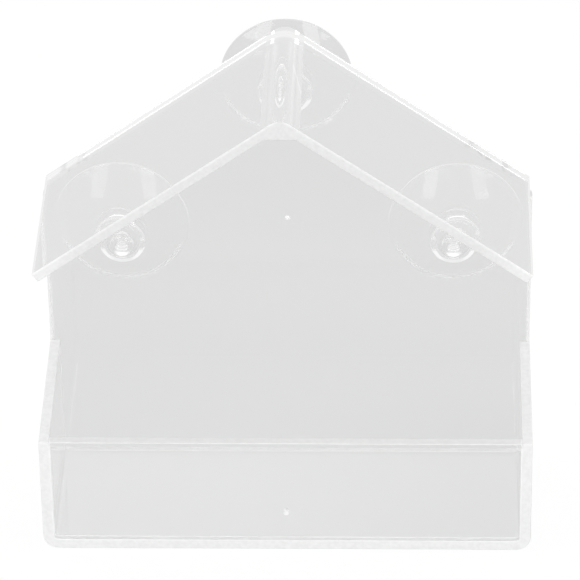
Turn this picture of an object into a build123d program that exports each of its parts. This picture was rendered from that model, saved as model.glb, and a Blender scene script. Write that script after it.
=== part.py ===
from build123d import *
from math import atan, cos, sqrt
import os

# A clear window feeder shaped like a little house, in millimetres.
# X runs along the pane, Y points at the pane and Z is up.
# The origin is the middle of the underside, half way from the tray's front to the back panel's rear face.

# Clear sheet that every panel is made from
sheet_thickness = 3.2
edge_round = 0.3

# House outline, and how far the roof stands out past its front and rear
feeder_width = 150.0
feeder_depth = 55.0
shoulder_height = 96.0
apex_height = 150.0
roof_half_span = 74.2
roof_overhang = 1.0
ridge_radius = 5.2
ridge_flat = 9.0

# Seed tray, bent up from one strip
side_rear_height = 43.0
front_height = 39.5
tray_bend_radius = 1.5

# Small nubs that the moulding gates left on two panels
nub_radius = 0.7
nub_top_radius = 0.35
nub_height = 0.25
back_nub_height = 88.0
wall_nub_height = 13.5

# Places of the suction cups, from the panel's sides, apex and shoulders
cup_inset = 24.0
lower_cup_drop = 15.5
upper_cup_drop = 18.0

# Suction cup, neck and head
cup_hole_radius = 5.5
neck_clearance = 0.1
cup_play = 0.3
head_radius = 7.1
head_thickness = 3.2
head_round = 1.35
boss_radius = 3.65
boss_length = 1.7
boss_round = 0.5
boss_root_round = 1.0
socket_radius = 1.9
socket_depth = 7.0
groove_radius = 0.25
groove_count = 4

# Suction cup, dish
rim_radius = 20.2
cup_reach = 6.8
lip_width = 1.0
lip_thickness = 0.6
dish_root_radius = 7.5
dish_root_round = 0.6
dish_floor_thickness = 2.4
dish_crown = 0.8

# Places that follow from the sizes above
rear_face = feeder_depth / 2
panel_face = rear_face - sheet_thickness
tray_front = -rear_face
roof_reach = rear_face + roof_overhang
half_width = feeder_width / 2
inner_half_width = half_width - sheet_thickness
tray_corner_radius = tray_bend_radius + sheet_thickness
roof_slope = (apex_height - shoulder_height) / half_width
roof_angle = atan(roof_slope)
half_flat = ridge_flat / 2
flat_height = apex_height - roof_slope * half_flat


def plate(outline, rear, front):
    """Makes a sheet from an outline in x and z, between two places along y."""
    return extrude(Plane.XZ.offset(-rear) * outline, amount=rear - front)


def polished(sheet):
    """Takes the sharpness off every edge of a sheet."""
    return fillet(sheet.edges(), edge_round)


def nearest(face, x, y):
    """Finds the corner of a flat outline that lies nearest to a point."""
    return face.vertices().sort_by_distance((x, y, 0))[0]


def nub(face_y, height):
    """Makes the low nub of a moulding gate on a face that looks along -y or +y."""
    cone = Cone(nub_radius, nub_top_radius, nub_height, align=(Align.CENTER, Align.CENTER, Align.MIN))
    return Pos(0, face_y, height) * Rot(90, 0, 0) * cone


def make_back_panel():
    """The house-shaped panel that carries everything and faces the pane."""
    outline = make_face(
        Polyline(
            (-half_width, 0),
            (half_width, 0),
            (half_width, shoulder_height),
            (half_flat, flat_height),
            (-half_flat, flat_height),
            (-half_width, shoulder_height),
            close=True,
        )
    )
    outline = fillet(nearest(outline, -half_width, 0), tray_corner_radius)
    outline = fillet(nearest(outline, half_width, 0), tray_corner_radius)
    panel = polished(plate(outline, rear_face, panel_face))
    for x, z in cup_places.values():
        panel -= plate(Pos(x, z) * Circle(cup_hole_radius), rear_face, panel_face)
    return panel + nub(panel_face, back_nub_height)


def make_roof():
    """The two slopes in one sheet, flat under the ridge, with ends cut square to each slope."""
    rise = sheet_thickness / cos(roof_angle)
    run = sheet_thickness * roof_slope * cos(roof_angle)
    drop = sheet_thickness * cos(roof_angle)
    eave_top = apex_height + rise - roof_slope * roof_half_span
    outline = make_face(
        Polyline(
            (-roof_half_span, eave_top),
            (0, apex_height + rise),
            (roof_half_span, eave_top),
            (roof_half_span - run, eave_top - drop),
            (half_flat, flat_height),
            (-half_flat, flat_height),
            (run - roof_half_span, eave_top - drop),
            close=True,
        )
    )
    outline = fillet(nearest(outline, 0, apex_height + rise), ridge_radius)
    return polished(plate(outline, roof_reach, -roof_reach))


def make_tray():
    """The floor and both side walls, bent up from one strip, with side tops that slope down to the front."""
    top = max(side_rear_height, front_height)
    outline = make_face(
        Polyline(
            (-half_width, top),
            (-half_width, 0),
            (half_width, 0),
            (half_width, top),
            (inner_half_width, top),
            (inner_half_width, sheet_thickness),
            (-inner_half_width, sheet_thickness),
            (-inner_half_width, top),
            close=True,
        )
    )
    for side in (-1, 1):
        outline = fillet(nearest(outline, side * half_width, 0), tray_corner_radius)
        outline = fillet(nearest(outline, side * inner_half_width, sheet_thickness), tray_bend_radius)
    channel = plate(outline, panel_face, tray_front)
    side_view = make_face(
        Polyline(
            (tray_front, 0),
            (panel_face, 0),
            (panel_face, side_rear_height),
            (tray_front, front_height),
            close=True,
        )
    )
    block = extrude(Plane.YZ * side_view, amount=half_width, both=True)
    return polished(channel & block)


def make_front_wall():
    """The low wall between the side walls, with lower corners that fit the tray's bends."""
    outline = make_face(
        Polyline(
            (-inner_half_width, sheet_thickness),
            (inner_half_width, sheet_thickness),
            (inner_half_width, front_height),
            (-inner_half_width, front_height),
            close=True,
        )
    )
    for side in (-1, 1):
        outline = fillet(nearest(outline, side * inner_half_width, sheet_thickness), tray_bend_radius)
    wall = polished(plate(outline, tray_front + sheet_thickness, tray_front))
    return wall + Rot(0, 0, 180) * nub(-tray_front - sheet_thickness, wall_nub_height)


def make_cup():
    """One suction cup on the y axis, with the panel's rear face at y = 0 and the pane beyond it."""
    neck_radius = cup_hole_radius - neck_clearance
    head_back = -sheet_thickness - cup_play
    head_front = head_back - head_thickness
    boss_front = head_front - boss_length
    hollow_floor = cup_play + dish_floor_thickness
    lip_radius = rim_radius - lip_width
    lip_back = cup_reach - lip_thickness
    root_back = cup_play + dish_root_round
    # The hollow is part of a sphere whose centre is on the axis.
    hollow_depth = cup_reach - hollow_floor
    hollow_radius = (lip_radius**2 + hollow_depth**2) / (2 * hollow_depth)
    half_way = lip_radius / 2
    hollow_middle = (half_way, hollow_floor + hollow_radius - sqrt(hollow_radius**2 - half_way**2))
    # The dish's back swells towards the panel by the crown, half way along it.
    back_pull = ((rim_radius + dish_root_radius) / 2, (lip_back + root_back) / 2 - 2 * dish_crown)
    straight = Polyline(
        (rim_radius, lip_back),
        (rim_radius, cup_reach),
        (lip_radius, cup_reach),
    )
    hollow = ThreePointArc((lip_radius, cup_reach), hollow_middle, (0, hollow_floor))
    shaft = Polyline(
        (0, hollow_floor),
        (0, boss_front + socket_depth),
        (socket_radius, boss_front + socket_depth),
        (socket_radius, boss_front),
        (boss_radius, boss_front),
        (boss_radius, head_front),
        (head_radius, head_front),
        (head_radius, head_back),
        (neck_radius, head_back),
        (neck_radius, cup_play),
        (dish_root_radius, cup_play),
        (dish_root_radius, root_back),
    )
    back = Bezier((dish_root_radius, root_back), back_pull, (rim_radius, lip_back))
    outline = make_face([*straight.edges(), *hollow.edges(), *shaft.edges(), *back.edges()])
    outline = fillet(nearest(outline, boss_radius, boss_front), boss_round)
    outline = fillet(nearest(outline, boss_radius, head_front), boss_root_round)
    outline = fillet(nearest(outline, head_radius, head_front), head_round)
    outline = fillet(nearest(outline, head_radius, head_back), head_round)
    cup = revolve(outline, axis=Axis.Y)
    groove = Rot(90, 0, 0) * Torus(socket_radius, groove_radius)
    for number in range(1, groove_count + 1):
        along = boss_front + socket_depth * number / (groove_count + 1)
        cup -= Pos(0, along, 0) * groove
    return cup


cup_places = {
    "top": (0, apex_height - upper_cup_drop),
    "left": (cup_inset - half_width, shoulder_height - lower_cup_drop),
    "right": (half_width - cup_inset, shoulder_height - lower_cup_drop),
}

nodes = {
    "back_panel": make_back_panel(),
    "roof": make_roof(),
    "tray": make_tray(),
    "front_wall": make_front_wall(),
}
for place, (x, z) in cup_places.items():
    nodes["suction_cup_" + place] = Pos(x, rear_face, z) * make_cup()

os.makedirs("parts", exist_ok=True)
for name, solid in nodes.items():
    solid.label = name
    export_step(solid, os.path.join("parts", name + ".step"))
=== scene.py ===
# %% [markdown]
# # A clear window feeder, shaped like a little house
# The real one hangs on a window pane by three suction cups, with seed in the open tray at its foot. Nearly
# all of it is see-through, so this lesson is about clear plastic: what stands behind it, what it mirrors, and
# how its cut edges catch the light. The pieces arrive at their real size in metres and stay where they are.
# Only their finishes, a thin bead of cement, a floor, the light and a camera are added here.

# %% Load the pieces
import math

import bpy
from mathutils import Matrix, Vector, noise


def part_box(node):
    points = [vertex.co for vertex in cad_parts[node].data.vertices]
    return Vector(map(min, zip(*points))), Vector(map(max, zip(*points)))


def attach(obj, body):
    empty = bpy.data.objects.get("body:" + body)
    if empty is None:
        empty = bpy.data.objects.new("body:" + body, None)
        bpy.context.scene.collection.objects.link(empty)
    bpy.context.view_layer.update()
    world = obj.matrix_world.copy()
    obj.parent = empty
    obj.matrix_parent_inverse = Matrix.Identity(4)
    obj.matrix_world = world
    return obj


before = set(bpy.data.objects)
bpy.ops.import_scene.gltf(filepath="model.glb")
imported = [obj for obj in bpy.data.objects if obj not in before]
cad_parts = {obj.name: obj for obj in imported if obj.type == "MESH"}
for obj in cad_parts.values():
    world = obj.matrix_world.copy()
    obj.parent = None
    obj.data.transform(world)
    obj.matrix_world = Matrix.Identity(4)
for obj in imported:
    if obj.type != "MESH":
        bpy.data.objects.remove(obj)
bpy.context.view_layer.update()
MM = 0.001
print("pieces:", sorted(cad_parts))

# %% [markdown]
# The finishes have to know where some edges lie. X runs along the pane, Y points at the pane and Z is up.
# Every place could be typed in by hand, but places measured from the pieces stay right when the part changes.

# %% Places the finishes go by
SHEET = 3.2 * MM
SHOULDER = 96 * MM
APEX = 150 * MM
panel_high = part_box("back_panel")[1]
tray_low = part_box("tray")[0]
HALF_WIDTH = panel_high[0]
PANEL_REAR = panel_high[1]
PANEL_FRONT = PANEL_REAR - SHEET
TRAY_FRONT = tray_low[1]
ROOF_SLOPE = (APEX - SHOULDER) / HALF_WIDTH
print("panel front and rear:", round(PANEL_FRONT / MM, 2), round(PANEL_REAR / MM, 2), "mm")
print("roof slope:", round(ROOF_SLOPE, 3))

# %% [markdown]
# The camera stands well back with a long lens, a little above the roof and slightly to the right, and it is
# rolled by about a degree. A near camera with a short lens could frame the feeder as well, but it would
# shrink the back panel against the front wall. In the picture the two are nearly as wide, so the lens has to
# be long. The angles came from matching the corners of tray, panel and roof to where they lie in the picture.

# %% Set up the camera
CAMERA_AZIMUTH = math.radians(2.05)
CAMERA_ELEVATION = math.radians(32.61)
CAMERA_ROLL = math.radians(-0.93)
CAMERA_DISTANCE = 1280.5 * MM
CAMERA_TARGET = Vector((1.39, -3.5, 79.42)) * MM
SENSOR_WIDTH = 36.0
PICTURE_WIDTH = 580
FOCAL_PIXELS = 4229.8
CLIP_END = 20.0


def aim_camera():
    """Makes the camera, looking at the target from its azimuth, elevation and distance."""
    back = Vector((
        math.sin(CAMERA_AZIMUTH) * math.cos(CAMERA_ELEVATION),
        -math.cos(CAMERA_AZIMUTH) * math.cos(CAMERA_ELEVATION),
        math.sin(CAMERA_ELEVATION),
    ))
    right = (-back).cross(Vector((0, 0, 1))).normalized()
    up = right.cross(-back)
    turn = Matrix((right, up, back)).transposed().to_4x4() @ Matrix.Rotation(CAMERA_ROLL, 4, "Z")
    data = bpy.data.cameras.new("camera")
    data.sensor_width = SENSOR_WIDTH
    data.lens = FOCAL_PIXELS / PICTURE_WIDTH * SENSOR_WIDTH
    data.clip_end = CLIP_END
    camera = bpy.data.objects.new("camera", data)
    camera.matrix_world = Matrix.Translation(CAMERA_TARGET + back * CAMERA_DISTANCE) @ turn
    bpy.context.scene.collection.objects.link(camera)
    bpy.context.scene.camera = camera
    return camera


camera = aim_camera()
print("camera lens:", round(camera.data.lens, 1), "mm")

# %% [markdown]
# A material is a small graph of nodes. Wiring every node by hand takes many lines, so these helpers keep each
# graph readable: one adds a node and fills its sockets, one does arithmetic, one mixes two values by a share
# from 0 to 1, and one makes a smooth step.

# %% Node helpers
def add_node(tree, kind, settings=(), **inputs):
    """Adds a node. Inputs are given by name or number, as values or as other nodes' outputs."""
    node = tree.nodes.new(kind)
    for name, value in dict(settings).items():
        setattr(node, name, value)
    for name, value in inputs.items():
        socket = node.inputs[int(name[1:])] if name[1:].isdigit() else node.inputs[name.replace("_", " ")]
        if isinstance(value, bpy.types.NodeSocket):
            tree.links.new(value, socket)
        else:
            socket.default_value = value
    return node


def maths(tree, operation, first, second=0.0):
    """One step of arithmetic on two values."""
    return add_node(tree, "ShaderNodeMath", {"operation": operation}, i0=first, i1=second).outputs[0]


def between(tree, share, low, high):
    """The value low where the share is 0, and high where it is 1."""
    return add_node(tree, "ShaderNodeMix", {"data_type": "FLOAT"}, i0=share, i2=low, i3=high).outputs[0]


def smooth_step(tree, value, start, end):
    """0 before start, 1 past end, and a smooth curve between them."""
    return add_node(tree, "ShaderNodeMapRange", {"interpolation_type": "SMOOTHSTEP"},
                    i0=value, i1=start, i2=end).outputs[0]


def new_material(name):
    """An empty material with its output node."""
    material = bpy.data.materials.new(name)
    material.use_nodes = True
    material.node_tree.nodes.clear()
    return material, material.node_tree, add_node(material.node_tree, "ShaderNodeOutputMaterial")


print("helpers:", [helper.__name__ for helper in (add_node, maths, between, smooth_step, new_material)])

# %% [markdown]
# Most rules below ask a yes-or-no question about a place: is it high enough, does it face up, is it near a
# spot? Each answer is a share, 1 for yes and 0 for no, so that two answers can be joined by multiplying them
# or by taking the larger one. A smooth step between two places gives the shares in between.

# %% Shares, places and distances
SPOT_CORE_SHARE = 0.8


def above(tree, value, limit):
    """1 where the value is larger than the limit."""
    return maths(tree, "GREATER_THAN", value, limit)


def below(tree, value, limit):
    """1 where the value is smaller than the limit."""
    return maths(tree, "LESS_THAN", value, limit)


def both_of(tree, first, second):
    """1 only where both shares are 1."""
    return maths(tree, "MULTIPLY", first, second)


def either_of(tree, first, second):
    """The larger of two shares."""
    return maths(tree, "MAXIMUM", first, second)


def parts_of(tree, vector):
    """The x, y and z of a vector."""
    return add_node(tree, "ShaderNodeSeparateXYZ", i0=vector).outputs


def distance_from(tree, place, x, z):
    """How far a place lies from a line along y, given by the line's x and z."""
    parts = parts_of(tree, place)
    across = maths(tree, "SUBTRACT", parts[0], x)
    up = maths(tree, "SUBTRACT", parts[2], z)
    square = maths(tree, "ADD", maths(tree, "MULTIPLY", across, across), maths(tree, "MULTIPLY", up, up))
    return maths(tree, "SQRT", square)


def spot(tree, place, x, z, radius):
    """1 inside a small upright disc on a sheet, and 0 outside it."""
    return smooth_step(tree, distance_from(tree, place, x, z), radius, radius * SPOT_CORE_SHARE)


print("helpers:", [helper.__name__ for helper in (above, below, both_of, either_of, distance_from, spot)])

# %% [markdown]
# Broad faces and cut edges differ by which way they face, so one material per piece can hold both finishes.
# The other ways are separate pieces or a painted mask, and a rule on the direction needs neither. One thing
# is easily missed: where light meets a surface from inside the plastic, the renderer turns its direction
# round. Without turning it back, the rear end would count as the front and the foot as the top.

# %% Which way a surface faces
UP = (2, 1)
DOWN = (2, -1)
TO_FRONT = (1, -1)
TO_PANE = (1, 1)
TO_FRONT_OR_PANE = (1, None)
TO_A_SIDE = (0, None)
HARDLY = (0.05, 0.2)
SLIGHTLY = (0.1, 0.3)
PARTLY = (0.3, 0.5)
MOSTLY = (0.6, 0.8)
AT_ALL = 0.1
HALF_WAY = 0.5
MAINLY = 0.7
NEARLY_STRAIGHT = 0.8


def outward_normal(tree):
    """Which way the surface faces, the same for light that meets it from outside and from inside."""
    geometry = add_node(tree, "ShaderNodeNewGeometry").outputs
    flip = maths(tree, "SUBTRACT", 1, maths(tree, "MULTIPLY", geometry["Backfacing"], 2))
    turned = add_node(tree, "ShaderNodeVectorMath", {"operation": "SCALE"}, i0=geometry["Normal"], i3=flip)
    return turned.outputs[0]


def along(tree, vector, way):
    """How far a vector points one way, or either way where no sign is given."""
    axis, sign = way
    part = parts_of(tree, vector)[axis]
    return maths(tree, "MULTIPLY", part, sign) if sign else maths(tree, "ABSOLUTE", part)


def facing(tree, normal, way, amount):
    """A smooth share of how far the surface faces one way."""
    return smooth_step(tree, along(tree, normal, way), *amount)


def faces(tree, normal, way, limit):
    """1 where the surface faces one way by more than the limit."""
    return above(tree, along(tree, normal, way), limit)


print("a surface faces up, slightly, where its normal's z passes", SLIGHTLY)

# %% [markdown]
# The front wall stands between the side walls. Its top edge is nearly polished. Its ends and its foot are
# cemented to the tray, and the cement fills them with white. Low in the middle sits the small nub where the
# mould's gate was, and a white spot on it is a painted glint. Thin strips of mesh in a white material could
# stand for these bands, but a rule keeps the wall in one piece. Every rule returns three things: where the
# frosted cuts are, how light they are, and where a painted glow goes, with its level.

# %% Cut edges of the front wall
WALL_TOP_TONE = 0.85
WALL_END_TONE = 0.99
WALL_FOOT_TONE = 0.93
NUB_GLINT_TONE = 0.97
NUB_REACH = 0.9 * MM
NUB_MARGIN = 0.05 * MM
WALL_NUB_HEIGHT = 13.5 * MM


def nub_glint_share(tree, place, height, face):
    """1 on the nub of a sheet whose front face is at the given y, where a white spot paints its glint."""
    raised = below(tree, parts_of(tree, place)[1], face + NUB_MARGIN)
    return both_of(tree, spot(tree, place, 0, height, NUB_REACH), raised)


def wall_cuts(tree, normal, place):
    """Where the front wall is frosted, and how light it is there."""
    top = facing(tree, normal, UP, SLIGHTLY)
    foot = facing(tree, normal, DOWN, SLIGHTLY)
    joined = either_of(tree, foot, facing(tree, normal, TO_A_SIDE, SLIGHTLY))
    nub = nub_glint_share(tree, place, WALL_NUB_HEIGHT, TRAY_FRONT)
    # The nub's white tone is a painted glint.
    free_tone = between(tree, nub, WALL_TOP_TONE, NUB_GLINT_TONE)
    tone = between(tree, joined, free_tone, between(tree, foot, WALL_END_TONE, WALL_FOOT_TONE))
    return either_of(tree, either_of(tree, top, joined), nub), tone, None


print("front wall tones:", WALL_TOP_TONE, WALL_END_TONE, WALL_FOOT_TONE)

# %% [markdown]
# The roof is cemented onto the back panel's slopes. Light that gets into such a joint stays there and glows
# back softly, which a ray tracer would show as black. So the joint gets a painted glow of its own, at the
# level the picture shows. Near both eaves the cement missed some streaks, and the painted glow is darker
# there.

# %% The painted glow of the cemented joint under the roof
JOINT_GLOW_LEVEL = 0.89
JOINT_FALL_PER_METRE = 0.35
STREAK_DEPTH = 0.16
STREAK_SCALE = 330.0
STREAK_SHARE = (0.48, 0.66)
STREAKS_START = (50 * MM, 56 * MM)
STREAKS_END = (70 * MM, 67 * MM)


def painted_joint_glow(tree, place, level):
    """The level of a cemented joint's painted glow, falling a little to the right, with darker streaks near
    both eaves.
    """
    fall = maths(tree, "MULTIPLY", parts_of(tree, place)[0], JOINT_FALL_PER_METRE)
    level = maths(tree, "SUBTRACT", level, fall)
    streaks = add_node(tree, "ShaderNodeTexNoise", i0=place, Scale=STREAK_SCALE, Detail=2.0).outputs[0]
    streaks = smooth_step(tree, streaks, *STREAK_SHARE)
    sideways = along(tree, place, TO_A_SIDE)
    start = smooth_step(tree, sideways, *STREAKS_START)
    zone = both_of(tree, start, smooth_step(tree, sideways, *STREAKS_END))
    return maths(tree, "SUBTRACT", level, maths(tree, "MULTIPLY", both_of(tree, streaks, zone), STREAK_DEPTH))


print("joint level:", JOINT_GLOW_LEVEL)

# %% [markdown]
# The back panel shows pale bands along its upright sides and its foot. The sides are worn a little past the
# corner. A band that stops at a line would look printed there, so the frost fades in over the last
# millimetre. The panel's slopes carry the cement of the roof and its painted glow, fainter towards the front.

# %% Cut edges of the back panel
PANEL_TONE = 0.92
PANEL_NUB_HEIGHT = 88 * MM
PANEL_SIDE_WIDTH = 3 * MM
PANEL_FOOT_HEIGHT = 6 * MM
WORN_SHARE = 0.8
WORN_START = HALF_WIDTH - 1.4 * MM
WORN_END = HALF_WIDTH + 0.2 * MM
SLOPES_START = SHOULDER - 6 * MM
SLOPE_FRONT_GLOW_LEVEL = 0.76
SLOPE_REAR = (PANEL_REAR - 1.6 * MM, PANEL_REAR - 0.2 * MM)


def panel_cuts(tree, normal, place):
    """Where the back panel is frosted, how light it is there, and where its slopes get a painted glow."""
    parts = parts_of(tree, place)
    sideways = along(tree, place, TO_A_SIDE)
    outer = above(tree, sideways, HALF_WIDTH - PANEL_SIDE_WIDTH)
    sides = both_of(tree, facing(tree, normal, TO_A_SIDE, MOSTLY), outer)
    foot = both_of(tree, facing(tree, normal, DOWN, PARTLY), below(tree, parts[2], PANEL_FOOT_HEIGHT))
    worn = maths(tree, "MULTIPLY", smooth_step(tree, sideways, WORN_START, WORN_END), WORN_SHARE)
    nub = nub_glint_share(tree, place, PANEL_NUB_HEIGHT, PANEL_FRONT)
    cuts = either_of(tree, either_of(tree, sides, foot), either_of(tree, worn, nub))
    slopes = both_of(tree, faces(tree, normal, UP, AT_ALL), above(tree, parts[2], SLOPES_START))
    # The slopes' level is a painted glow, fainter at the front than at the rear.
    level = between(tree, smooth_step(tree, parts[1], *SLOPE_REAR), SLOPE_FRONT_GLOW_LEVEL, JOINT_GLOW_LEVEL)
    # The nub's white tone is a painted glint here too.
    return cuts, between(tree, nub, PANEL_TONE, NUB_GLINT_TONE), (slopes, painted_joint_glow(tree, place, level))


print("back panel tone:", PANEL_TONE)

# %% [markdown]
# The roof's front end is the widest frosted band in the picture. It is a shade darker than the tray's edges,
# with a painted highlight along its upper line and painted light towards the eaves, added to one flat tone by
# two smooth steps. The eaves themselves and the strip behind the panel get a painted glow.

# %% Cut edges of the roof
ROOF_TONE = 0.8
ROOF_PAINTED_LIGHT = 0.07
EAVES_LIGHT_START = (56 * MM, 72 * MM)
UPPER_HIGHLIGHT_LINE = (2.9 * MM, 3.5 * MM)
EAVE_GLOW_LEVEL = 0.85
EAVE_TOP = SHOULDER + 5 * MM
JOINT_START = PANEL_REAR - 0.4 * MM


def roof_cuts(tree, normal, place):
    """Where the roof is frosted, how light it is there with its painted highlight, and where it gets a
    painted glow.
    """
    parts = parts_of(tree, place)
    sideways = along(tree, place, TO_A_SIDE)
    fall = maths(tree, "MULTIPLY", sideways, ROOF_SLOPE)
    height = maths(tree, "SUBTRACT", maths(tree, "ADD", parts[2], fall), APEX)
    # Painted highlight along the upper line, and painted light towards the eaves.
    upper = smooth_step(tree, height, *UPPER_HIGHLIGHT_LINE)
    painted_light = maths(tree, "ADD", upper, smooth_step(tree, sideways, *EAVES_LIGHT_START))
    tone = maths(tree, "ADD", ROOF_TONE, maths(tree, "MULTIPLY", painted_light, ROOF_PAINTED_LIGHT))
    joint = both_of(tree, faces(tree, normal, DOWN, HALF_WAY), above(tree, parts[1], JOINT_START))
    eaves = both_of(tree, faces(tree, normal, TO_A_SIDE, MAINLY), below(tree, parts[2], EAVE_TOP))
    level = between(tree, eaves, painted_joint_glow(tree, place, JOINT_GLOW_LEVEL), EAVE_GLOW_LEVEL)
    return facing(tree, normal, TO_FRONT, HARDLY), tone, (either_of(tree, joint, eaves), level)


print("roof tone:", ROOF_TONE, "and up to", ROOF_PAINTED_LIGHT * 2, "more")

# %% [markdown]
# The tray is one strip, bent up at both sides. Its front and rear ends and the tops of its side walls are
# cut, and they are well frosted. The bends and both broad faces stay clear. The tops are told from the floor
# by their height, because both face up.

# %% Cut edges of the tray
TRAY_TONE = 0.91
TRAY_REAR_TONE = 0.87
SIDE_TOPS_START = 30 * MM


def tray_cuts(tree, normal, place):
    """Where the tray is frosted, and how light it is there."""
    high = above(tree, parts_of(tree, place)[2], SIDE_TOPS_START)
    tops = both_of(tree, high, facing(tree, normal, UP, HARDLY))
    ends = facing(tree, normal, TO_FRONT_OR_PANE, HARDLY)
    tone = between(tree, facing(tree, normal, TO_PANE, HARDLY), TRAY_TONE, TRAY_REAR_TONE)
    return either_of(tree, tops, ends), tone, None


print("tray tones:", TRAY_TONE, TRAY_REAR_TONE)

# %% [markdown]
# Clear plastic lets lamps through, but a ray tracer that follows glass honestly gives it a black shadow.
# Light that is focused by the glass could be traced as well, slowly and with much grain. The usual cure is
# quicker: shadow rays pass the surface with a faint tint, and every other ray meets the true glass.

# %% A surface that lets lamps through
SHADOW_TINT = 0.985


def let_lamps_through(tree, surface, output):
    """Sends the surface to the output, but lets shadow rays pass with a faint tint."""
    path = add_node(tree, "ShaderNodeLightPath")
    tint = (SHADOW_TINT, SHADOW_TINT, SHADOW_TINT, 1)
    passing = add_node(tree, "ShaderNodeBsdfTransparent", Color=tint)
    both = add_node(tree, "ShaderNodeMixShader", i0=path.outputs["Is Shadow Ray"],
                    i1=surface, i2=passing.outputs[0])
    tree.links.new(both.outputs[0], output.inputs["Surface"])


print("each surface takes", round((1 - SHADOW_TINT) * 100, 1), "percent from a lamp")

# %% [markdown]
# Light that enters a clear sheet is mirrored from face to face inside it. A ray tracer stops counting after a
# few mirrorings and paints the rest black, where real plastic goes on glowing softly. So a path that has been
# mirrored three times ends in a painted glow at the pale level that the room shows through the plastic.
# Counting on for much longer would do it too, at many times the render time. The places with a painted glow
# end a path in the same way, each at its own level.

# %% Plastic that ends a path of light softly
DEEP_MIRRORINGS = 2.5
DEEP_STEPS = 9.5
DEEP_LEVEL = 0.86


def too_deep(tree):
    """1 on a path that has been mirrored or bent too often, and 0 elsewhere."""
    path = add_node(tree, "ShaderNodeLightPath").outputs
    mirrored = above(tree, path["Glossy Depth"], DEEP_MIRRORINGS)
    return either_of(tree, mirrored, above(tree, path["Ray Depth"], DEEP_STEPS))


def plastic_surface(tree, ior, colour, roughness, clearness, shine, painted_glow):
    """Clear or frosted plastic that ends a path of light in a painted glow where it has gone too deep, or
    where a glow is given.
    """
    grey = add_node(tree, "ShaderNodeCombineColor", Red=colour, Green=colour, Blue=colour)
    surface = add_node(tree, "ShaderNodeBsdfPrincipled", IOR=ior, Base_Color=grey.outputs[0],
                       Roughness=roughness, Transmission_Weight=clearness, Specular_IOR_Level=shine)
    ends = too_deep(tree)
    strength = DEEP_LEVEL
    if painted_glow:
        glow_share, level = painted_glow
        ends = either_of(tree, ends, glow_share)
        strength = between(tree, glow_share, DEEP_LEVEL, level)
    end = add_node(tree, "ShaderNodeEmission", Strength=strength)
    both = add_node(tree, "ShaderNodeMixShader", i0=ends, i1=surface.outputs[0], i2=end.outputs[0])
    return both.outputs[0]


print("a path ends after", math.ceil(DEEP_MIRRORINGS), "mirrorings, at level", DEEP_LEVEL)

# %% [markdown]
# Now every sheet gets its finish: polished clear acrylic, with its own cuts frosted. A faint mottle keeps the
# frost from looking printed. Where two sheets touch, their faces lie in the very same place, and the renderer
# would pick one or the other at random. Drawing every sheet in by a fiftieth of a millimetre parts them, like
# the film of cement that holds the real ones.

# %% Clear acrylic sheet
SHEET_IOR = 1.49
SHEET_SHINE = 0.5
CLEAR_TONE = 0.985
FROST_ROUGHNESS = 0.6
FROST_CLEARNESS = 0.1
MOTTLE = (0.97, 1.03)
MOTTLE_SHARE = (0.3, 0.7)
MOTTLE_SCALE = 700.0
CEMENT_FILM = 0.04 * MM
SHEETS = {"back_panel": panel_cuts, "front_wall": wall_cuts, "roof": roof_cuts, "tray": tray_cuts}


def mottled(tree, place, scale, low, high):
    """A value that wanders in small patches between low and high."""
    patches = add_node(tree, "ShaderNodeTexNoise", i0=place, Scale=scale, Detail=3.0).outputs[0]
    return between(tree, smooth_step(tree, patches, *MOTTLE_SHARE), low, high)


def clear_sheet(name, find_cuts):
    """Clear acrylic with polished faces and frosted, slightly mottled cut edges."""
    material, tree, output = new_material(name)
    place = add_node(tree, "ShaderNodeTexCoord").outputs["Object"]
    cuts, frost, painted_glow = find_cuts(tree, outward_normal(tree), place)
    frost = maths(tree, "MULTIPLY", frost, mottled(tree, place, MOTTLE_SCALE, *MOTTLE))
    colour = between(tree, cuts, CLEAR_TONE, frost)
    roughness = between(tree, cuts, 0.0, FROST_ROUGHNESS)
    clearness = between(tree, cuts, 1.0, FROST_CLEARNESS)
    surface = plastic_surface(tree, SHEET_IOR, colour, roughness, clearness, SHEET_SHINE, painted_glow)
    let_lamps_through(tree, surface, output)
    return material


for node, find_cuts in SHEETS.items():
    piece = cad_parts[node]
    piece.data.materials.clear()
    piece.data.materials.append(clear_sheet("clear_" + node, find_cuts))
    film = piece.modifiers.new("cement_film", "DISPLACE")
    film.strength = -CEMENT_FILM / 2
    film.mid_level = 0.0
print("sheets:", sorted(SHEETS))

# %% [markdown]
# The front wall is cemented between the side walls and onto the floor. The cement dries in the groove that
# the rounded edges leave, as a thin and slightly uneven bead. A white line could be painted on instead, but a
# real little piece, swept along the groove, also fills it, where an open groove would show as a dark line.

# %% The path of the cement bead
INNER_HALF_WIDTH = HALF_WIDTH - SHEET
BEND_RADIUS = 1.5 * MM
BEND_STEPS = 5
BEAD_TOP = 38.6 * MM
BEAD_STEP = 0.8 * MM


def groove_path():
    """Places along the groove: down the left side, round the bend, across, and up the right side."""
    inner = INNER_HALF_WIDTH - BEND_RADIUS
    low = SHEET + BEND_RADIUS
    count = int((BEAD_TOP - low) / BEAD_STEP)
    drop = low - BEAD_TOP
    half = [(-INNER_HALF_WIDTH, BEAD_TOP + drop * step / count) for step in range(count)]
    for step in range(BEND_STEPS + 1):
        angle = math.pi / 2 * step / BEND_STEPS
        half.append((-inner - BEND_RADIUS * math.cos(angle), low - BEND_RADIUS * math.sin(angle)))
    count = int(inner / BEAD_STEP)
    half += [(-inner * (1 - step / count), SHEET) for step in range(1, count + 1)]
    return half + [(-x, z) for x, z in reversed(half[:-1])]


path = groove_path()
print("bead path:", len(path), "places")

# %% [markdown]
# The bead is a tube: a ring of points at every place of the path, joined to the next ring by faces. A curve
# with a round bevel would be shorter to write, but rings made here can grow and shrink a little, as dried
# cement does.

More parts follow.
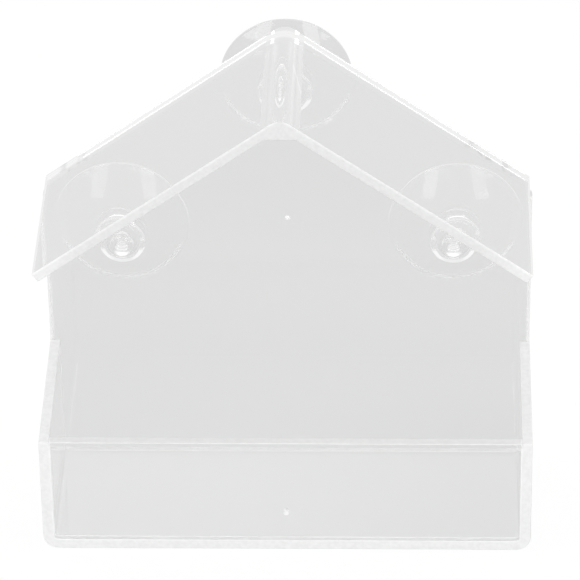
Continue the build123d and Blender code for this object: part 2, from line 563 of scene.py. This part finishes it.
# %% The cement bead
BEAD_RADIUS = 0.22 * MM
BEAD_DEPTH = TRAY_FRONT + 0.2 * MM
BEAD_SIDES = 8
BEAD_WANDER = 0.2
BEAD_WAVE = 3 * MM
CEMENT_TONES = (0.91, 0.97)
CEMENT_SCALE = 900.0
CEMENT_ROUGHNESS = 0.6


def bead_ring(path, index):
    """The ring of points round one place of the path."""
    x, z = path[index]
    before, after = path[max(index - 1, 0)], path[min(index + 1, len(path) - 1)]
    ahead = Vector((after[0] - before[0], 0, after[1] - before[1])).normalized()
    across = ahead.cross(Vector((0, 1, 0)))
    radius = BEAD_RADIUS * (1 + BEAD_WANDER * noise.noise(Vector((x, 0, z)) / BEAD_WAVE))
    angles = [2 * math.pi * side / BEAD_SIDES for side in range(BEAD_SIDES)]
    middle = Vector((x, BEAD_DEPTH, z))
    return [middle + (across * math.cos(a) + Vector((0, math.sin(a), 0))) * radius for a in angles]


def sweep_bead(path):
    """A thin tube along a path in x and z, closed at both ends."""
    points = [point for index in range(len(path)) for point in bead_ring(path, index)]
    walls = [tuple(range(BEAD_SIDES)), tuple(reversed(range(len(points) - BEAD_SIDES, len(points))))]
    for start in range(0, len(points) - BEAD_SIDES, BEAD_SIDES):
        for side in range(BEAD_SIDES):
            a, b = start + side, start + (side + 1) % BEAD_SIDES
            walls.append((a, b, b + BEAD_SIDES, a + BEAD_SIDES))
    mesh = bpy.data.meshes.new("cement_bead")
    mesh.from_pydata(points, [], walls)
    mesh.shade_smooth()
    return mesh


def dried_cement():
    """White, slightly mottled cement."""
    material, tree, output = new_material("dried_cement")
    place = add_node(tree, "ShaderNodeTexCoord").outputs["Object"]
    tone = mottled(tree, place, CEMENT_SCALE, *CEMENT_TONES)
    grey = add_node(tree, "ShaderNodeCombineColor", Red=tone, Green=tone, Blue=tone)
    surface = add_node(tree, "ShaderNodeBsdfPrincipled", Base_Color=grey.outputs[0],
                       Roughness=CEMENT_ROUGHNESS)
    let_lamps_through(tree, surface.outputs[0], output)
    return material


bead = bpy.data.objects.new("cement_bead", sweep_bead(path))
bead.data.materials.append(dried_cement())
bpy.context.scene.collection.objects.link(bead)
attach(bead, "house")
print("bead:", len(bead.data.vertices), "points,", len(bead.data.polygons), "faces")

# %% [markdown]
# The suction cups are a softer clear plastic, which bends light less than acrylic and shines a little more.
# The moulded boss on the head is slightly dull and tinted a shade darker, a painted shade that dims a bright
# spot, and the rim that presses on the pane is frosted inside. The lower side of the head gets a painted glow
# like the joint: a bright crescent, brightest to the left and right. Painting such marks on would need an
# unwrapped surface. Rules measured from the cup's axis need only the distance from it, and so each cup has
# its own material. Each pair of values below is the start and end of a smooth step, or one value for the
# middle of the head and one for its sides.

# %% Where a cup is frosted and where it glows
RIM_DEPTH = (PANEL_REAR + 6.1 * MM, PANEL_REAR + 6.4 * MM)
BOSS_RADIUS = 4.7 * MM
HEAD_FRONT = PANEL_FRONT - 3.1 * MM
HEAD_REAR = PANEL_FRONT - 0.25 * MM
GLOW_RADIUS = (6.35 * MM, 5.6 * MM)
GLOW_BELOW = (0.8 * MM, 2.6 * MM)
GLOW_SIDEWAYS = (2.0 * MM, 4.4 * MM)
GLOW_LEVEL = (0.86, 0.95)


def rim_share(tree, outward, depth):
    """1 on the hollow of the dish near its rim, where it faces up."""
    hollow = faces(tree, outward, TO_PANE, HALF_WAY)
    lip = both_of(tree, hollow, smooth_step(tree, depth, *RIM_DEPTH))
    return both_of(tree, lip, facing(tree, outward, UP, SLIGHTLY))


def head_painted_glow(tree, outward, place, x, z):
    """Where the lower side of the head gets its painted glow, and how much."""
    parts = parts_of(tree, place)
    across = maths(tree, "ABSOLUTE", maths(tree, "SUBTRACT", parts[0], x))
    sideways = smooth_step(tree, across, *GLOW_SIDEWAYS)
    low = smooth_step(tree, maths(tree, "SUBTRACT", z, parts[2]), *GLOW_BELOW)
    edge = above(tree, distance_from(tree, place, x, z), between(tree, sideways, *GLOW_RADIUS))
    not_rear = below(tree, along(tree, outward, TO_PANE), NEARLY_STRAIGHT)
    head = both_of(tree, below(tree, parts[1], HEAD_REAR), not_rear)
    return both_of(tree, low, both_of(tree, edge, head)), between(tree, sideways, *GLOW_LEVEL)


print("head glow levels:", GLOW_LEVEL)

# %% [markdown]
# With the places known, the finish itself is short. The three cups are the same piece in three places, so a
# loop measures each one's axis from its box and gives it its material.

# %% Soft clear cups
CUP_IOR = 1.42
CUP_SHINE = 1.0
CUP_TONE = 0.99
BOSS_SHADE_TONE = 0.93
CUP_ROUGHNESS = 0.05
BOSS_ROUGHNESS = 0.2
RIM_ROUGHNESS = 0.6
RIM_CLEARNESS = 0.1


def soft_plastic(name, x, z):
    """Clear soft plastic for a suction cup whose axis is at x and z."""
    material, tree, output = new_material(name)
    place = add_node(tree, "ShaderNodeTexCoord").outputs["Object"]
    depth = parts_of(tree, place)[1]
    outward = outward_normal(tree)
    rim = rim_share(tree, outward, depth)
    near_axis = below(tree, distance_from(tree, place, x, z), BOSS_RADIUS)
    boss = both_of(tree, near_axis, below(tree, depth, HEAD_FRONT))
    roughness = between(tree, rim, between(tree, boss, CUP_ROUGHNESS, BOSS_ROUGHNESS), RIM_ROUGHNESS)
    # The boss's darker tone is painted shade that dims a bright spot.
    colour = between(tree, boss, CUP_TONE, BOSS_SHADE_TONE)
    clearness = between(tree, rim, 1.0, RIM_CLEARNESS)
    glow = head_painted_glow(tree, outward, place, x, z)
    surface = plastic_surface(tree, CUP_IOR, colour, roughness, clearness, CUP_SHINE, glow)
    let_lamps_through(tree, surface, output)
    return material


for node in sorted(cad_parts):
    if node.startswith("suction_cup"):
        low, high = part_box(node)
        axis = ((low[0] + high[0]) / 2, (low[2] + high[2]) / 2)
        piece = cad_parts[node]
        piece.data.materials.clear()
        piece.data.materials.append(soft_plastic("soft_clear_" + node, *axis))
        print(node, "axis at", [round(value / MM, 1) for value in axis], "mm")

# %% [markdown]
# The picture's ground is pure white, yet the plastic shows a pale grey through it: the white was laid round
# the object afterwards. So the backdrop answers by the kind of ray that asks. Rays from the camera and
# mirrorings find white. Rays through the plastic find a grey card behind the feeder, a paler room in front of
# it, a bright ceiling and a softer level overhead. Everything else finds one plain soft light. A real card
# and real lamps could do it too, but they would darken the white ground.

# %% Backdrop light
CARD_LEVEL = 0.74
ROOM_LEVEL = 0.86
CEILING_LEVEL = 1.25
OVERHEAD_LEVEL = 0.9
PLAIN_LIGHT = 0.9
CARD_START = (0.2, 0.6)
CEILING_START = (0.2, 0.6)
OVERHEAD_START = (0.65, 0.8)


def shown_level(tree, through):
    """How bright a backdrop is for the rays that show it, and 1 where the ray is one of those."""
    path = add_node(tree, "ShaderNodeLightPath").outputs
    direct = either_of(tree, path["Is Camera Ray"], path["Is Glossy Ray"])
    shows = either_of(tree, direct, path["Is Transmission Ray"])
    return between(tree, path["Is Transmission Ray"], 1.0, through), shows


def light_world():
    """White to the camera, the room's levels through the plastic, and plain light to the rest."""
    world = bpy.data.worlds.new("world")
    world.use_nodes = True
    tree = world.node_tree
    tree.nodes.clear()
    parts = parts_of(tree, add_node(tree, "ShaderNodeTexCoord").outputs["Generated"])
    through = between(tree, smooth_step(tree, parts[1], *CARD_START), ROOM_LEVEL, CARD_LEVEL)
    through = between(tree, smooth_step(tree, parts[2], *CEILING_START), through, CEILING_LEVEL)
    through = between(tree, smooth_step(tree, parts[2], *OVERHEAD_START), through, OVERHEAD_LEVEL)
    level, shows = shown_level(tree, through)
    strength = between(tree, shows, PLAIN_LIGHT, level)
    light = add_node(tree, "ShaderNodeBackground", Color=(1, 1, 1, 1), Strength=strength)
    tree.links.new(light.outputs[0], add_node(tree, "ShaderNodeOutputWorld").inputs["Surface"])
    bpy.context.scene.world = world


light_world()
print("card, room, ceiling, overhead:", CARD_LEVEL, ROOM_LEVEL, CEILING_LEVEL, OVERHEAD_LEVEL)

# %% [markdown]
# The grey card in the picture isn't lit quite evenly: it falls off a little far behind, and to the right
# close to the feeder. Real lamps could be moved until it does, but they would change the plastic too. A small
# fall that is taken off the card's level by place changes the card alone.

# %% The card's level on the floor
FAR_START = (0.12, 0.2)
FAR_FALL = 0.015
RIGHT_START = (-0.02, 0.08)
NEAR_END = (0.08, 0.0)
RIGHT_FALL = 0.035


def floor_card_level(tree, parts):
    """The grey card's level at a place on the floor."""
    far = maths(tree, "MULTIPLY", smooth_step(tree, parts[1], *FAR_START), FAR_FALL)
    near = smooth_step(tree, parts[1], *NEAR_END)
    near_right = both_of(tree, smooth_step(tree, parts[0], *RIGHT_START), near)
    fall = maths(tree, "ADD", far, maths(tree, "MULTIPLY", near_right, RIGHT_FALL))
    return maths(tree, "SUBTRACT", CARD_LEVEL, fall)


print("card level at its darkest:", round(CARD_LEVEL - max(FAR_FALL, RIGHT_FALL), 3))

# %% [markdown]
# The floor carries the card and the room on below the feeder. A floor lit by lamps alone would need them so
# strong that the pale plastic turns flat white. A floor that only glows would float, without any shadow. So
# nine tenths of its brightness are its own, and the last tenth comes from the lamps and keeps a faint shadow.

# %% Floor
FLOOR_SHARE = 0.1
FLOOR_FILL = 0.95
FLOOR_TONE = 0.6
FLOOR_HALF = 3.0
FLOOR_DROP = 0.3 * MM
FLOOR_CARD = (-0.07, -0.03)


def floor_material():
    """A floor that shows white, or the card's grey through plastic, and keeps a faint shadow."""
    material, tree, output = new_material("floor_white")
    parts = parts_of(tree, add_node(tree, "ShaderNodeTexCoord").outputs["Object"])
    card = smooth_step(tree, parts[1], *FLOOR_CARD)
    level, shows = shown_level(tree, between(tree, card, ROOM_LEVEL, floor_card_level(tree, parts)))
    lit = between(tree, shows, FLOOR_TONE, maths(tree, "MULTIPLY", level, FLOOR_SHARE))
    own = maths(tree, "MULTIPLY", level, 1.0 - FLOOR_SHARE * FLOOR_FILL)
    glow = maths(tree, "MULTIPLY", shows, own)
    colour = add_node(tree, "ShaderNodeCombineColor", Red=lit, Green=lit, Blue=lit)
    matt = add_node(tree, "ShaderNodeBsdfDiffuse", Color=colour.outputs[0])
    bright = add_node(tree, "ShaderNodeEmission", Strength=glow)
    both = add_node(tree, "ShaderNodeAddShader", i0=matt.outputs[0], i1=bright.outputs[0])
    tree.links.new(both.outputs[0], output.inputs["Surface"])
    return material


def make_floor():
    """A wide flat floor just under the feeder."""
    mesh = bpy.data.meshes.new("floor")
    corners = [(-1, -1), (1, -1), (1, 1), (-1, 1)]
    mesh.from_pydata([(x * FLOOR_HALF, y * FLOOR_HALF, -FLOOR_DROP) for x, y in corners], [], [(0, 1, 2, 3)])
    mesh.materials.append(floor_material())
    floor = bpy.data.objects.new("floor", mesh)
    bpy.context.scene.collection.objects.link(floor)
    return floor


floor = make_floor()
print("floor:", [round(size, 1) for size in floor.dimensions[:2]], "m")

# %% [markdown]
# Two tall softboxes stand in front, one on each side. They light the frosted edges and leave the soft upright
# bands in the dishes of the cups. Small lamps would leave hard points there. The angles came from where the
# bands lie in the picture, and the power is low, because most of the light comes from the backdrop.

# %% Softboxes
SOFTBOX_SIZE = (0.3, 0.85)
SOFTBOX_POWER = 2.4
SOFTBOX_DISTANCE = 1.2
SOFTBOX_ELEVATION = 20
SOFTBOX_TARGET = Vector((0, 0, 0.08))


def softbox(name, azimuth):
    """A lamp with a flat face, aimed at the feeder's middle."""
    a, e = math.radians(azimuth), math.radians(SOFTBOX_ELEVATION)
    away = Vector((math.sin(a) * math.cos(e), -math.cos(a) * math.cos(e), math.sin(e)))
    data = bpy.data.lights.new(name, "AREA")
    data.shape = "RECTANGLE"
    data.size, data.size_y = SOFTBOX_SIZE
    data.energy = SOFTBOX_POWER
    lamp = bpy.data.objects.new(name, data)
    lamp.location = SOFTBOX_TARGET + away * SOFTBOX_DISTANCE
    lamp.rotation_mode = "QUATERNION"
    lamp.rotation_quaternion = away.to_track_quat("Z", "Y")
    bpy.context.scene.collection.objects.link(lamp)
    print(name, "at", [round(value, 2) for value in lamp.location], "m")


softbox("left_softbox", -27)
softbox("right_softbox", 27)

# %% [markdown]
# The plain Standard view shows a colour as it was written, where a film-like view would turn the white ground
# grey.

# %% Colour
bpy.context.scene.view_settings.view_transform = "Standard"
